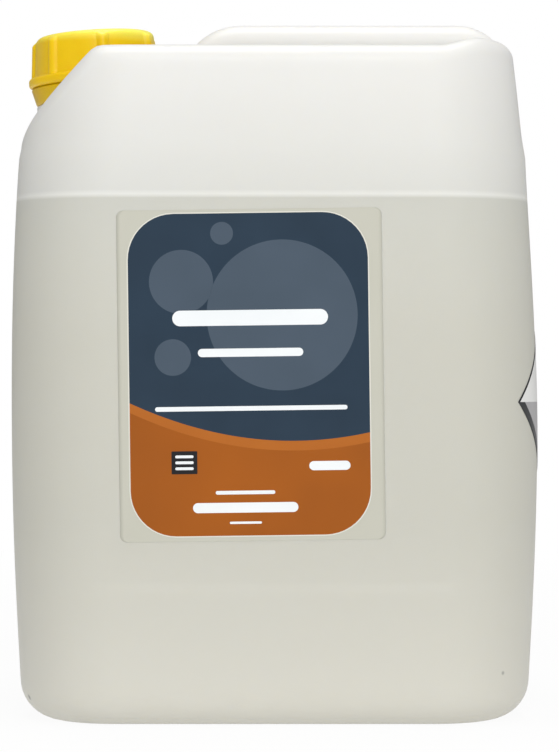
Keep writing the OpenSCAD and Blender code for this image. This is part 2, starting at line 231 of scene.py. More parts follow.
def middle_height(x):
    """Height between the lobes: the leaning shelf, then the trough, then the closed right-hand end."""
    shelf = SHELF_Z + (x - NECK_X) * math.tan(NECK_LEAN)
    low = mix(shelf, TROUGH_Z, ease((x - NECK_X - SHELF_REACH) / TROUGH_SOFT))
    return mix(low, crest(x), ease((x - TROUGH_END_X) / END_RISE))


def top_height(x, y):
    """Top of the can: the middle, mixed smoothly into the lobes across the trough's slope."""
    return mix(middle_height(x), lobe_height(x), ease((np.abs(y) - TROUGH_HALF) / TROUGH_SLOPE))


def make_piece(name, points, faces, material):
    """A smooth mesh object at the origin from an array of points and arrays of faces."""
    mesh = bpy.data.meshes.new(name)
    mesh.from_pydata(points.reshape(-1, 3).tolist(), [], [f for part in faces for f in part.tolist()])
    mesh.validate()
    mesh.polygons.foreach_set("use_smooth", np.ones(len(mesh.polygons), bool))
    mesh.materials.append(material)
    piece = bpy.data.objects.new(name, mesh)
    bpy.context.scene.collection.objects.link(piece)
    return piece


def grid_quads(rows, cols, wrap_rows=False, wrap_cols=False, first=0):
    """Quads of a grid numbered row by row; a wrapped way joins its last line to its first."""
    r = np.arange(rows if wrap_rows else rows - 1)[:, None]
    c = np.arange(cols if wrap_cols else cols - 1)[None, :]
    r1, c1 = (r + 1) % rows, (c + 1) % cols
    quads = np.stack([r * cols + c, r * cols + c1, r1 * cols + c1, r1 * cols + c], -1)
    return first + quads.reshape(-1, 4)


# Plan of the can: steps in half a corner, and the places of upright lines along each straight wall
ARC = 12
ALONG = np.linspace(-1, 1, 45)[:-1]
ACROSS = np.linspace(-1, 1, 53)[:-1]
FRONT_WAY, RIGHT_WAY, BACK_WAY, LEFT_WAY = 1.5 * np.pi, 2 * np.pi, 0.5 * np.pi, np.pi
COLS = 2 * ARC + len(ALONG)
LINES = 2 * ARC + len(ACROSS)


def footprint():
    """One turn round the plan: shares of the half width and depth, and the way each point faces."""
    arc = np.arange(ARC) / ARC * np.pi / 4
    one = np.ones(ARC)

    def side(places, way):
        share = np.concatenate([-one, places, one])
        faces = np.concatenate([way - np.pi / 4 + arc, np.full(len(places), way), way + arc])
        return share, faces

    front, right = side(ALONG, FRONT_WAY), side(ACROSS, RIGHT_WAY)
    back, left = side(ALONG, BACK_WAY), side(ACROSS, LEFT_WAY)
    u = np.concatenate([front[0], np.ones(LINES), -back[0], -np.ones(LINES)])
    v = np.concatenate([-np.ones(COLS), right[0], np.ones(COLS), -left[0]])
    return u, v, np.concatenate([front[1], right[1], back[1], left[1]])


PLAN_U, PLAN_V, PLAN_WAY = footprint()


def wall_ring(z, inward=0.0):
    """Ring of wall points at heights z: corner centres plus corner radius, less the panel and inward."""
    z = np.broadcast_to(z, PLAN_WAY.shape)
    radius = CORNER_R - inward - panel(z, PLAN_WAY)
    x = PLAN_U * (half_width(z) - CORNER_R) + radius * np.cos(PLAN_WAY) - sag_shift(z)
    y = PLAN_V * (half_depth(z) - CORNER_R) + radius * np.sin(PLAN_WAY)
    return np.stack([x, y, z], -1)


def base_ring(step):
    """Ring on the rounded bottom edge: a quarter circle from the floor at step 0 to the wall at step 1."""
    a = step * np.pi / 2
    ring = wall_ring(BASE_R, BASE_R * (1 - math.sin(a)))
    ring[:, 2] = BASE_R * (1 - math.cos(a))
    return ring


def edge_foot():
    """Heights at which the walls meet the rounded top edge, found by stepping towards them."""
    z = np.full(len(PLAN_WAY), LOBE_Z - EDGE_R)
    for _ in range(EDGE_TRIES):
        ring = wall_ring(z)
        z = top_height(ring[:, 0], ring[:, 1]) - EDGE_R
    return z


def edge_ring(step):
    """Ring on the rounded top edge: a quarter circle from the wall at step 0 to the top at step 1."""
    a = step * np.pi / 2
    ring = wall_ring(edge_foot(), EDGE_R * (1 - math.cos(a)))
    ring[:, 2] = top_height(ring[:, 0], ring[:, 1]) - EDGE_R * (1 - math.sin(a))
    return ring


def patch(ring):
    """Grid that fills a ring: the blends between opposite sides added, less the blend of the corners."""
    s = np.linspace(0, 1, COLS + 1)[None, :, None]
    t = np.linspace(0, 1, LINES + 1)[:, None, None]
    front = ring[: COLS + 1][None]
    right = ring[COLS : COLS + LINES + 1][:, None]
    back = ring[COLS + LINES : 2 * COLS + LINES + 1][::-1][None]
    left = np.concatenate([ring[2 * COLS + LINES :], ring[:1]])[::-1][:, None]
    corners = (
        (1 - s) * (1 - t) * front[:, :1]
        + s * (1 - t) * front[:, -1:]
        + (1 - s) * t * back[:, :1]
        + s * t * back[:, -1:]
    )
    return (1 - t) * front + t * back + (1 - s) * left + s * right - corners


def rim_numbers(rows, cols, first=0):
    """Numbers of the points on the rim of a grid, once round it from its first point."""
    n = first + np.arange(rows * cols).reshape(rows, cols)
    return np.concatenate([n[0, :-1], n[:-1, -1], n[-1, :0:-1], n[:0:-1, 0]])


def can_skin(material):
    """Outer skin of the can: floor patch, rings up the walls and over the top edge, and top patch."""
    floor = patch(base_ring(0))
    room = np.minimum(
        CAN_WIDTH / 2 - BASE_R - np.abs(floor[..., 0]), CAN_DEPTH / 2 - BASE_R - np.abs(floor[..., 1])
    )
    floor[..., 2] = BASE_PUSH * ease((room - BASE_RIM) / PUSH_SOFT)
    top = patch(edge_ring(1))
    top[..., 2] = top_height(top[..., 0], top[..., 1])
    heights = np.concatenate([
        np.linspace(BASE_R, PANEL_LOW_Z, 9)[:-1],
        np.linspace(PANEL_LOW_Z, PANEL_LOW_Z + PANEL_EDGE, 6)[:-1],
        np.linspace(PANEL_LOW_Z + PANEL_EDGE, PANEL_HIGH_Z - PANEL_EDGE, 30)[:-1],
        np.linspace(PANEL_HIGH_Z - PANEL_EDGE, PANEL_HIGH_Z, 6)[:-1],
        np.linspace(PANEL_HIGH_Z, SHOULDER_Z, 4),
    ])
    rings = [base_ring(k) for k in np.linspace(0, 1, 11)[1:-1]]
    rings += [wall_ring(z) for z in heights]
    rings += [wall_ring(mix(SHOULDER_Z, edge_foot(), k)) for k in np.linspace(0, 1, 15)[1:]]
    rings += [edge_ring(k) for k in np.linspace(0, 1, 11)[1:-1]]
    size = floor.shape[0] * floor.shape[1]
    around = len(PLAN_WAY)
    numbers = [rim_numbers(LINES + 1, COLS + 1)]
    numbers += [2 * size + k * around + np.arange(around) for k in range(len(rings))]
    numbers += [rim_numbers(LINES + 1, COLS + 1, size)]
    low, high = np.array(numbers[:-1]), np.array(numbers[1:])
    bands = np.stack([low, np.roll(low, -1, 1), np.roll(high, -1, 1), high], -1).reshape(-1, 4)
    points = np.concatenate([floor.reshape(-1, 3), top.reshape(-1, 3), *rings])
    faces = [grid_quads(LINES + 1, COLS + 1)[:, ::-1], grid_quads(LINES + 1, COLS + 1, first=size), bands]
    return make_piece("can_skin", points, faces, material)


def handle_line(count):
    """Middle line of the handle in x and z with its slope: post, bend, grip, bend, post."""
    grip_z = HANDLE_TOP_Z - GRIP_THICK / 2
    root_z = TROUGH_Z - POST_SINK
    a = np.linspace(np.pi, np.pi / 2, count)
    b = np.linspace(np.pi / 2, 0, count)
    up = np.linspace(root_z, grip_z - FRONT_BEND_R, count)[:-1]
    down = np.linspace(grip_z - REAR_BEND_R, root_z, count)[1:]
    flat = np.linspace(FRONT_POST_X + FRONT_BEND_R, REAR_POST_X - REAR_BEND_R, 3 * count)[1:-1]
    x = np.concatenate([
        np.full(len(up), FRONT_POST_X), FRONT_POST_X + FRONT_BEND_R * (1 + np.cos(a)), flat,
        REAR_POST_X + REAR_BEND_R * (np.cos(b) - 1), np.full(len(down), REAR_POST_X),
    ])
    z = np.concatenate([
        up, grip_z + FRONT_BEND_R * (np.sin(a) - 1), np.full(len(flat), grip_z),
        grip_z + REAR_BEND_R * (np.sin(b) - 1), down,
    ])
    slope = np.concatenate([
        np.full(len(up), np.pi / 2), a - np.pi / 2, np.zeros(len(flat)),
        b - np.pi / 2, np.full(len(down), -np.pi / 2),
    ])
    return x, z, slope


def grip_handle(material):
    """Handle: a rounded section carried along its middle line, flared at the foot of the near post."""
    x, z, slope = handle_line(16)
    a = np.linspace(0, 2 * np.pi, 65)[:-1]
    wide = GRIP_WIDE / 2 * np.sign(np.cos(a)) * np.abs(np.cos(a)) ** GRIP_POWER
    thick = GRIP_THICK / 2 * np.sign(np.sin(a)) * np.abs(np.sin(a)) ** GRIP_POWER
    near = np.where(x < 0, 1.0, 0.0)
    flare = 1 + near * FLARE * np.exp(-np.maximum(z - TROUGH_Z, 0) / FLARE_FADE)
    depth = flare[:, None] * wide[None, :]
    out = flare[:, None] * thick[None, :]
    across = x[:, None] - out * np.sin(slope)[:, None]
    up = z[:, None] + out * np.cos(slope)[:, None]
    points = np.stack([across, depth, up], -1)
    faces = [grid_quads(len(x), len(a), wrap_cols=True)[:, ::-1]]
    return make_piece("grip_handle", points, faces, material)


NECK_AXIS = np.array([-math.sin(NECK_LEAN), 0, math.cos(NECK_LEAN)])
NECK_SIDE = np.array([math.cos(NECK_LEAN), 0, math.sin(NECK_LEAN)])


def at_neck(radius, angle, height):
    """Point at a radius, an angle from the front and a height, measured on the leaning neck."""
    across = (radius * np.sin(angle))[..., None] * NECK_SIDE
    depth = (-radius * np.cos(angle))[..., None] * np.array([0.0, 1.0, 0.0])
    return np.array([NECK_X, 0, SHELF_Z]) + across + depth + np.asarray(height)[..., None] * NECK_AXIS


def arc_points(centre, radius, start, end, count):
    """Points of a profile on an arc, with angles in degrees from the outward direction."""
    a = np.radians(np.linspace(start, end, count))
    return [(centre[0] + radius * math.cos(t), centre[1] + radius * math.sin(t)) for t in a]


def turned(name, profile, material, count=192):
    """A closed profile of radius and height, in order, carried once round the neck."""
    p = np.array(profile)
    angle = np.linspace(0, 2 * np.pi, count + 1)[:-1]
    points = at_neck(p[:, :1] + 0 * angle, angle[None, :] + 0 * p[:, :1], p[:, 1:] + 0 * angle)
    return make_piece(name, points, [grid_quads(len(p), count, True, True)], material)


def neck_finish(material):
    """Neck: a lathe profile up the ledge, the bead and the rim, and down the mouth."""
    e = NECK_EDGE_R
    profile = [(MOUTH_R, -NECK_SINK), (LEDGE_R, -NECK_SINK)]
    profile += [(LEDGE_R, LEDGE_H - 2 * e)] + arc_points((LEDGE_R - e, LEDGE_H - e), e, 0, 90, 6)
    profile += arc_points((NECK_R + e, LEDGE_H + e), e, 270, 180, 5)
    profile += [(NECK_R, BEAD_Z - e)] + arc_points((BEAD_R - e, BEAD_Z + e), e, -90, 0, 5)
    profile += arc_points((BEAD_R - e, BEAD_Z + BEAD_H - e), e, 0, 90, 5)
    profile += [(NECK_R, BEAD_Z + BEAD_H + e), (NECK_R, NECK_H - 2 * e)]
    profile += arc_points((NECK_R - e, NECK_H - e), e, 0, 90, 6)
    profile += arc_points((MOUTH_R + e, NECK_H - e), e, 90, 180, 6)
    return turned("neck_finish", profile, material)


def neck_thread(material):
    """Thread: a small rounded ridge carried along a falling helix, sunk into the neck at its ends."""
    t = np.linspace(0, 1, 240)
    angle = 2 * np.pi * THREAD_TURNS * t
    height = NECK_H - THREAD_BELOW - THREAD_PITCH * THREAD_TURNS * t
    fade = ease(t / THREAD_FADE) * ease((1 - t) / THREAD_FADE)
    s = np.linspace(0, np.pi, 13)
    radius = NECK_R - THREAD_SINK + THREAD_RISE * fade[:, None] * np.sin(s)[None, :] ** THREAD_POWER
    up = height[:, None] - THREAD_HALF * np.cos(s)[None, :]
    points = at_neck(radius, angle[:, None] + 0 * s, up)
    inner = at_neck(np.full((len(t), 1), NECK_R - THREAD_ROOT), angle[:, None], height[:, None])
    ring = np.concatenate([points, inner], 1)
    return make_piece("neck_thread", ring, [grid_quads(len(t), ring.shape[1], wrap_cols=True)], material)


def screw_cap(material):
    """Cap: a turned profile whose skirt swells into rounded ribs, with slightly hollow flats between."""
    count = 640
    angle = np.linspace(0, 2 * np.pi, count + 1)[:-1]
    turn = (np.degrees(angle) - RIB_TURN) % (360 / RIB_COUNT)
    off = np.radians(np.minimum(turn, 360 / RIB_COUNT - turn)) * RIB_TIP_R
    rib = np.where(off < RIB_HALF, np.cos(np.pi / 2 * np.clip(off / RIB_HALF, 0, 1)) ** RIB_POWER, 0)
    flat = np.radians(180 / RIB_COUNT) * RIB_TIP_R
    hollow = -FLAT_HOLLOW * np.cos(np.pi / 2 * (flat - off) / flat) ** 2
    rib_add = (RIB_TIP_R - SKIRT_R) * rib + hollow * (1 - rib)
    e = CAP_SMALL_R
    rows = []

    def row(radius, height, share=0.0):
        rows.append((radius, height, share))

    for radius, height in arc_points((CAP_BORE_R + e, CAP_Z + e), e, 180, 270, 5):
        row(radius, height)
    r = FLANGE_EDGE_R
    for radius, height in arc_points((FLANGE_R - r, CAP_Z + r), r, -90, 0, 8):
        row(radius, height)
    for radius, height in arc_points((FLANGE_R - r, CAP_Z + FLANGE_H - r), r, 0, 75, 7):
        row(radius, height)
    foot = CAP_Z + FLANGE_H + FOOT_FILLET / 2
    row(SKIRT_R + FOOT_FILLET, foot, 0.9)
    row(SKIRT_R + FOOT_FILLET / 4, foot + FOOT_FILLET, 1.0)
    shoulder = CAP_TOP_Z - CAP_EDGE_R
    top_r = SKIRT_R - CAP_DRAFT
    for k in np.linspace(0.05, 0.97, 14):
        row(mix(SKIRT_R, top_r, k), mix(foot, shoulder, k), 1.0)
    for k, (radius, height) in enumerate(arc_points((top_r - CAP_EDGE_R, shoulder), CAP_EDGE_R, 0, 90, 14)):
        row(radius, height, 1 - ease(k / 7))
    top_flat = top_r - CAP_EDGE_R
    row(top_flat - 0.0012, CAP_TOP_Z)
    row(top_flat - 0.0018, CAP_TOP_Z - 0.8 * CAP_DISH)
    for radius in (*DISH_RADII, CAP_PIN_R):
        row(radius, CAP_TOP_Z - CAP_DISH)
    outside = len(rows)
    row(CAP_PIN_R, CAP_INNER_Z)
    row(0.012, CAP_INNER_Z)
    row(CAP_BORE_R - e, CAP_INNER_Z)
    for height in np.linspace(CAP_INNER_Z - e, CAP_Z + 2 * e, 10):
        row(CAP_BORE_R, height)
    table = np.array(rows)
    radius = table[:, :1] + table[:, 2:] * rib_add[None, :]
    points = at_neck(radius, angle[None, :] + 0 * radius, table[:, 1:2] + 0 * radius)
    quads = grid_quads(len(table), count, True, True).reshape(len(table), count, 4)
    keep = np.delete(np.arange(len(table)), outside - 1)
    around = np.arange(count)[None, :]
    lids = [around + (outside - 1) * count, around[:, ::-1] + outside * count]
    return make_piece("screw_cap_ribbed", points, [quads[keep].reshape(-1, 4), *lids], material)


def tamper_ring(material):
    """Ring left on the neck: a lathe profile with a round foot, a thin lip up to the cap and a catch."""
    z0, z1 = LEDGE_H, LEDGE_H + RING_H
    lip_z = z1 + RING_GAP - LIP_PLAY
    inner_foot, inner_top = RING_FOOT_R - RING_T, RING_TOP_R - RING_T
    catch_z = z0 + CATCH_Z
    profile = [(inner_foot, z0)]
    profile += arc_points((RING_FOOT_R - RING_EDGE_R, z0 + RING_EDGE_R), RING_EDGE_R, -90, 0, 9)
    profile += arc_points((RING_TOP_R - LIP_IN, z1 - LIP_IN), LIP_IN, 0, 90, 6)
    profile += [(RING_TOP_R - LIP_IN, lip_z), (inner_top, lip_z), (inner_top, catch_z + 2 * CATCH_H)]
    profile += [(CATCH_R, catch_z + CATCH_H), (CATCH_R, catch_z), (inner_foot, catch_z - CATCH_H)]
    return turned("tamper_ring", profile, material, 256)


def wall_point(x, z, lift):
    """Point of the flat of the front wall at x and z, lifted off the wall."""
    return np.stack([x, -half_depth(z) + panel(z, FRONT_WAY) - lift, z], -1)


def on_label(s, t, lift):
    """Point of the front wall from label coordinates: s to the right and t up from the label's middle."""
    x = LABEL_X + s * math.cos(LABEL_TILT) - t * math.sin(LABEL_TILT)
    z = LABEL_Z + t * math.cos(LABEL_TILT) + s * math.sin(LABEL_TILT)
    return wall_point(x, z, lift)


def rounded_half(t, width, height, radius):
    """Half width of a rounded rectangle at a height t over its middle."""
    over = np.maximum(0, np.abs(t) - (height / 2 - radius))
    return width / 2 - radius + np.sqrt(np.maximum(0, radius**2 - over**2))


def round_rows(height, radius, count):
    """Heights of rows across a rounded rectangle, close together at its round corners."""
    a = np.linspace(0, np.pi / 2, 12)
    low = -height / 2 + radius * (1 - np.cos(a))
    return np.concatenate([low, np.linspace(low[-1], -low[-1], count)[1:-1], -low[::-1]])


def rounded_field(name, width, height, radius, centre, material, lift):
    """Rounded rectangle lying on the label."""
    rows = round_rows(height, radius, 24)
    half = rounded_half(rows, width, height, radius)[:, None]
    s = mix(centre[0] - half, centre[0] + half, np.linspace(0, 1, 25)[None, :])
    t = centre[1] + rows[:, None] + 0 * s
    return make_piece(name, on_label(s, t, lift), [grid_quads(*s.shape)], material)


def thin_sheet(name, face, foot, material):
    """Sheet from a grid of points on its face and one at the foot of its edge, which is shaded flat."""
    rows, cols = face.shape[:2]
    points = np.concatenate([face.reshape(-1, 3), foot.reshape(-1, 3)])
    rim = rim_numbers(rows, cols)
    after = np.roll(rim, -1)
    sides = np.stack([rim + rows * cols, after + rows * cols, after, rim], -1)
    piece = make_piece(name, points, [grid_quads(rows, cols), sides], material)
    smooth = np.ones(len(piece.data.polygons), bool)
    smooth[-len(sides):] = False
    piece.data.polygons.foreach_set("use_smooth", smooth)
    return piece


def film_sheet(material):
    """Clear label film: a rounded rectangle whose edge is turned down to the wall."""
    t = round_rows(LABEL_H, LABEL_R, 60)
    half = rounded_half(t, LABEL_W, LABEL_H, LABEL_R)
    s = half[:, None] * np.linspace(-1, 1, 61)[None, :]
    up = t[:, None] + 0 * s
    return thin_sheet("label_film", on_label(s, up, FILM_T), on_label(s, up, RIM_LIFT), material)


# Printed field on the film, in label coordinates
PRINT_W = 0.1049
PRINT_H = 0.1409
PRINT_R = 0.020
PRINT_S = -0.0007
PRINT_T = 0.0003
PRINT_EDGE = 0.0005
LAYER = 0.00003
SWOOP_DROP = 0.021
SWOOP_FALL = 0.014
SWOOP_BOW = 0.009
AMBER_BAND = 0.0042
# Spots as middle and radius, and bars and the dark square as middle, width and height
SPOTS = [
    (0.014, 0.026, 0.033), (-0.030, 0.041, 0.014), (-0.034, 0.008, 0.008), (-0.012, 0.062, 0.005),
]
BARS = [
    (0.0, 0.0250, 0.068, 0.0068), (0.0, 0.0098, 0.046, 0.0036), (0.0, -0.0146, 0.084, 0.0020),
    (0.034, -0.0400, 0.018, 0.0040), (-0.003, -0.0513, 0.026, 0.0016),
    (-0.003, -0.0579, 0.046, 0.0044), (-0.003, -0.0645, 0.014, 0.0010),
]
SQUARE_S, SQUARE_T = -0.0295, -0.038
SQUARE_W, SQUARE_H, SQUARE_R = 0.0113, 0.0100, 0.0004
SQUARE_BARS = [(SQUARE_S, SQUARE_T + k * 0.0026, 0.0080, 0.0012) for k in (-1, 0, 1)]
BAR_TRIM = 1e-5


def swoop(s):
    """Lower edge of the dark field: a shallow falling arc from left to right."""
    u = (s - PRINT_S) / PRINT_W + 0.5
    return PRINT_T - SWOOP_DROP - SWOOP_FALL * u + SWOOP_BOW * (2 * u - 1) ** 2


def column_field(name, low, high, s, material, lift):
    """Sheet between a lower and an upper edge given for each column s, lying on the label."""
    v = np.linspace(0, 1, 33)[:, None]
    t = mix(low[None, :], high[None, :], v)
    return make_piece(name, on_label(s[None, :] + 0 * t, t, lift), [grid_quads(33, len(s))], material)


def print_columns():
    """Columns across the printed field, close at its round corners, and its lower and upper edge there."""
    s = round_rows(PRINT_W, PRINT_R, 40)
    tall = rounded_half(s, PRINT_H, PRINT_W, PRINT_R)
    return PRINT_S + s, PRINT_T - tall, PRINT_T + tall


def discs(name, circles, material, lift):
    """Round spots (s, t, radius) lying on the label: rings of points round each middle."""
    a = np.linspace(0, 2 * np.pi, 97)[:-1]
    r = np.linspace(0.02, 1, 9)[:, None]
    points, faces = [], []
    for k, (s, t, radius) in enumerate(circles):
        points.append(on_label(s + radius * r * np.cos(a), t + radius * r * np.sin(a), lift).reshape(-1, 3))
        faces.append(grid_quads(len(r), len(a), wrap_cols=True, first=k * len(r) * len(a))[:, ::-1])
        faces.append(k * len(r) * len(a) + np.arange(len(a))[None, :])
    return make_piece(name, np.concatenate(points), faces, material)


def bars(name, boxes, material, lift):
    """Round-ended bars (s, t, width, height) lying on the label."""
    points, faces, first = [], [], 0
    for s, t, width, height in boxes:
        radius = height / 2 - BAR_TRIM
        rows = round_rows(height, radius, 4)
        half = rounded_half(rows, width, height, radius)
        across = s + half[:, None] * np.linspace(-1, 1, 41)[None, :]
        points.append(on_label(across, t + rows[:, None] + 0 * across, lift).reshape(-1, 3))
        faces.append(grid_quads(len(rows), 41, first=first))
        first += len(rows) * 41
    return make_piece(name, np.concatenate(points), faces, material)


def end_point(along, z, lift):
    """Point of the right-hand end wall, a length along it from where the front corner ends."""
    straight = 2 * (half_depth(z) - CORNER_R)
    over = np.where(along < 0, along, np.where(along > straight, along - straight, 0)) / CORNER_R
    radius = CORNER_R + lift
    x = half_width(z) - CORNER_R + radius * np.cos(over) - sag_shift(z)
    y = CORNER_R - half_depth(z) + np.clip(along, 0, straight) + radius * np.sin(over)
    return np.stack([x, y, z], -1)


def diamond(material):
    """Square sticker on its corner: a grid wrapped on the end wall, with its own flat coordinates as UV."""
    n = 97
    half = STICKER_SIDE / 2
    q, p = np.meshgrid(np.linspace(-1, 1, n), np.linspace(-1, 1, n), indexing="ij")
    along = STICKER_ALONG + half * (p - q) / math.sqrt(2)
    z = STICKER_Z + half * (p + q) / math.sqrt(2)
    face, foot = end_point(along, z, STICKER_T), end_point(along, z, RIM_LIFT)
    piece = thin_sheet("end_diamond", face, foot, material)
    uv = np.stack([p, q], -1).reshape(-1, 2)
    corner = np.empty(len(piece.data.loops), int)
    piece.data.loops.foreach_get("vertex_index", corner)
    layer = piece.data.uv_layers.new(name="flat")
    layer.data.foreach_set("uv", (uv[corner % (n * n)] * 0.5 + 0.5).ravel())
    return piece


# Materials

# Heights between which the cap's top edge turns pale: a painted highlight
CAP_HIGHLIGHT_LOW, CAP_HIGHLIGHT_HIGH = 0.3085, 0.3135
# Places and sizes of the scuffs at the can's foot
SCUFFS = [((-0.1091, -0.0693, 0.0108), 0.0018), ((0.1003, -0.0843, 0.0231), 0.0013)]
# Colours of the can: with liquid behind it from foot to level, then without and paling upwards as painted
# light through the empty top, and what lies over them
WET_FOOT, WET_TOP, WET_MIDDLE = srgb(207, 205, 195), srgb(193, 193, 185), srgb(191, 190, 180)
DRY_LOW_PAINTED_LIGHT, DRY_TOP_PAINTED_LIGHT = srgb(206, 206, 201), srgb(225, 224, 221)
LEVEL_PAINTED_HIGHLIGHT, CAN_CLOUD, SCUFF = srgb(240, 240, 235), srgb(196, 190, 172), srgb(96, 100, 98)
# Heights between which the middle colour shows, and of the painted highlight line, counted from the level
MIDDLE_LOW_Z, MIDDLE_HIGH_Z = 0.09, 0.17
LINE_FOOT, LINE_HIGH, LINE_END = 0.0006, 0.0012, 0.0030
# Strongest share of the painted highlight line, the scuffs and the fine grain
HIGHLIGHT_SHARE, SCUFF_SHARE, GRAIN_SHARE = 0.35, 0.7, 0.05
# Colours of the sticker, and how far its border starts from its middle in the upper and the lower half
STICKER_PALE, STICKER_PALE_TWO = srgb(218, 218, 216), srgb(222, 222, 220)
STICKER_GREY, STICKER_GREY_TWO = srgb(156, 155, 156), srgb(164, 163, 164)
STICKER_BORDER = srgb(34, 35, 38)
BORDER_UPPER, BORDER_LOWER = 0.490, 0.462
# How rough the films are, and how far that drifts
FILM_ROUGHNESS, FILM_DRIFT = 0.3, 0.02


class Nodes:
    """A new material and short calls that add nodes to it and join them."""

    def __init__(self, name, **settings):
        """Settings are inputs of the shader, with _ for each space of their names."""
        self.material = bpy.data.materials.new(name)
        self.material.use_nodes = True
        self.tree = self.material.node_tree
        self.shader = self.tree.nodes["Principled BSDF"]
        for key, value in settings.items():
            self.shader.inputs[key.replace("_", " ")].default_value = value

    def add(self, kind, **settings):
        node = self.tree.nodes.new(kind)
        for key, value in settings.items():
            setattr(node, key, value)
        return node

    def join(self, source, target):
        self.tree.links.new(source, target)

    def feed(self, name, source):
        """Joins a value to an input of the shader."""
        self.join(source, self.shader.inputs[name])

    def place(self):
        return self.add("ShaderNodeTexCoord").outputs["Object"]

    def parts(self, vector):
        """The X, Y and Z of a vector."""
        node = self.add("ShaderNodeSeparateXYZ")
        self.join(vector, node.inputs[0])
        return node.outputs

    def noise(self, vector, scale, detail=2.0):
        node = self.add("ShaderNodeTexNoise")
        node.inputs["Scale"].default_value = scale
        node.inputs["Detail"].default_value = detail
        self.join(vector, node.inputs["Vector"])
        return node.outputs["Fac"]

    def math(self, operation, *values):
        node = self.add("ShaderNodeMath", operation=operation)
        for k, value in enumerate(values):
            if isinstance(value, float):
                node.inputs[k].default_value = value
            else:
                self.join(value, node.inputs[k])
        return node.outputs[0]

    def remap(self, value, low, high, out_low=0.0, out_high=1.0):
        node = self.add("ShaderNodeMapRange")
        ends = {"From Min": low, "From Max": high, "To Min": out_low, "To Max": out_high}
        for name, number in ends.items():
            node.inputs[name].default_value = number
        self.join(value, node.inputs["Value"])
        return node.outputs["Result"]

    def cloud(self, vector, scale, detail=2.0, low=0.0, high=1.0):
        """Noise whose middle part is spread over low to high."""
        return self.remap(self.noise(vector, scale, detail), 0.3, 0.7, low, high)

    def blend(self, share, a, b):
        node = self.add("ShaderNodeMix", data_type="RGBA")
        for socket, value in ((node.inputs["Factor"], share), (node.inputs[6], a), (node.inputs[7], b)):
            if isinstance(value, tuple):
                socket.default_value = value
            else:
                self.join(value, socket)
        return node.outputs[2]

    def bump(self, height, distance):
        node = self.add("ShaderNodeBump")
        node.inputs["Strength"].default_value = 1.0
        node.inputs["Distance"].default_value = distance
        self.join(height, node.inputs["Height"])
        self.feed("Normal", node.outputs["Normal"])


def can_plastic():
    """Satin natural polyethylene, faintly cloudy, paler over the liquid's level, partly as painted light
    through the empty top, with a painted highlight line at the level.
    """
    m = Nodes(
        "can_plastic", Subsurface_Weight=0.35, Subsurface_Radius=(1.0, 0.9, 0.7),
        Subsurface_Scale=0.0025, Specular_IOR_Level=0.4,
    )
    place = m.place()
    height = m.parts(place)["Z"]
    # Painted light: the part with no liquid behind it pales upwards, as if lit through the empty top
    dry_with_painted_light = m.blend(m.remap(height, LEVEL_Z, HANDLE_TOP_Z), DRY_LOW_PAINTED_LIGHT, DRY_TOP_PAINTED_LIGHT)
    wet = m.blend(m.remap(height, 0.0, LEVEL_Z), WET_FOOT, WET_TOP)
    low_part = m.remap(height, 0.0, MIDDLE_LOW_Z)
    high_part = m.remap(height, LEVEL_Z, MIDDLE_HIGH_Z)
    wet = m.blend(m.math("MULTIPLY", low_part, high_part), wet, WET_MIDDLE)
    level = m.remap(height, LEVEL_Z - LINE_FOOT, LEVEL_Z + LINE_HIGH)
    colour = m.blend(level, wet, dry_with_painted_light)
    # Painted highlight: a thin bright line along the liquid's level
    fall = m.remap(height, LEVEL_Z + LINE_HIGH, LEVEL_Z + LINE_END, HIGHLIGHT_SHARE, 0.0)
    colour = m.blend(m.math("MULTIPLY", level, fall), colour, LEVEL_PAINTED_HIGHLIGHT)
    colour = m.blend(m.cloud(place, scale=14.0, detail=4.0, high=0.05), colour, CAN_CLOUD)
    for spot, size in SCUFFS:
        gap = m.add("ShaderNodeVectorMath", operation="DISTANCE")
        gap.inputs[1].default_value = spot
        m.join(place, gap.inputs[0])
        share = m.remap(gap.outputs["Value"], size / 3, size, SCUFF_SHARE, 0.0)
        colour = m.blend(share, colour, SCUFF)
    m.feed("Base Color", colour)
    m.feed("Roughness", m.cloud(place, scale=26.0, low=0.40, high=0.46))
    grain = m.math("MULTIPLY", m.noise(place, scale=1100.0), GRAIN_SHARE)
    m.bump(m.math("ADD", m.noise(place, scale=16.0), grain), distance=0.0003)
    return m.material


def cap_plastic(name, colour, second):
    """Yellow polyethylene: slight gloss, faint flow clouds and fine grain, with a painted highlight paler
    towards the cap's top edge.
    """
    m = Nodes(
        name, Subsurface_Weight=0.25, Subsurface_Radius=(1.0, 0.6, 0.15), Subsurface_Scale=0.002,
        Specular_IOR_Level=0.3,
    )
    place = m.place()
    colour = m.blend(m.cloud(place, scale=70.0, detail=3.0), colour, second)
    # Painted highlight: the cap turns pale lemon towards its top edge
    pale = m.remap(m.parts(place)["Z"], CAP_HIGHLIGHT_LOW, CAP_HIGHLIGHT_HIGH)
    m.feed("Base Color", m.blend(pale, colour, srgb(244, 234, 92)))
    m.feed("Roughness", m.cloud(place, scale=160.0, low=0.28, high=0.42))
    m.bump(m.noise(place, scale=1400.0), distance=0.00006)
    return m.material


def film_finish(name, colour, second, scale=40.0):
    """Printed or clear film: its colour drifts a little, with a soft gloss and a faint ripple."""
    m = Nodes(name, Specular_IOR_Level=0.2)
    place = m.place()
    drift = m.remap(m.noise(place, scale), low=0.25, high=0.75)
    m.feed("Base Color", m.blend(drift, colour, second))
    low, high = FILM_ROUGHNESS - FILM_DRIFT, FILM_ROUGHNESS + FILM_DRIFT
    m.feed("Roughness", m.cloud(place, scale=18.0, detail=1.0, low=low, high=high))
    m.bump(m.noise(place, scale=1300.0), distance=0.00001)
    return m.material


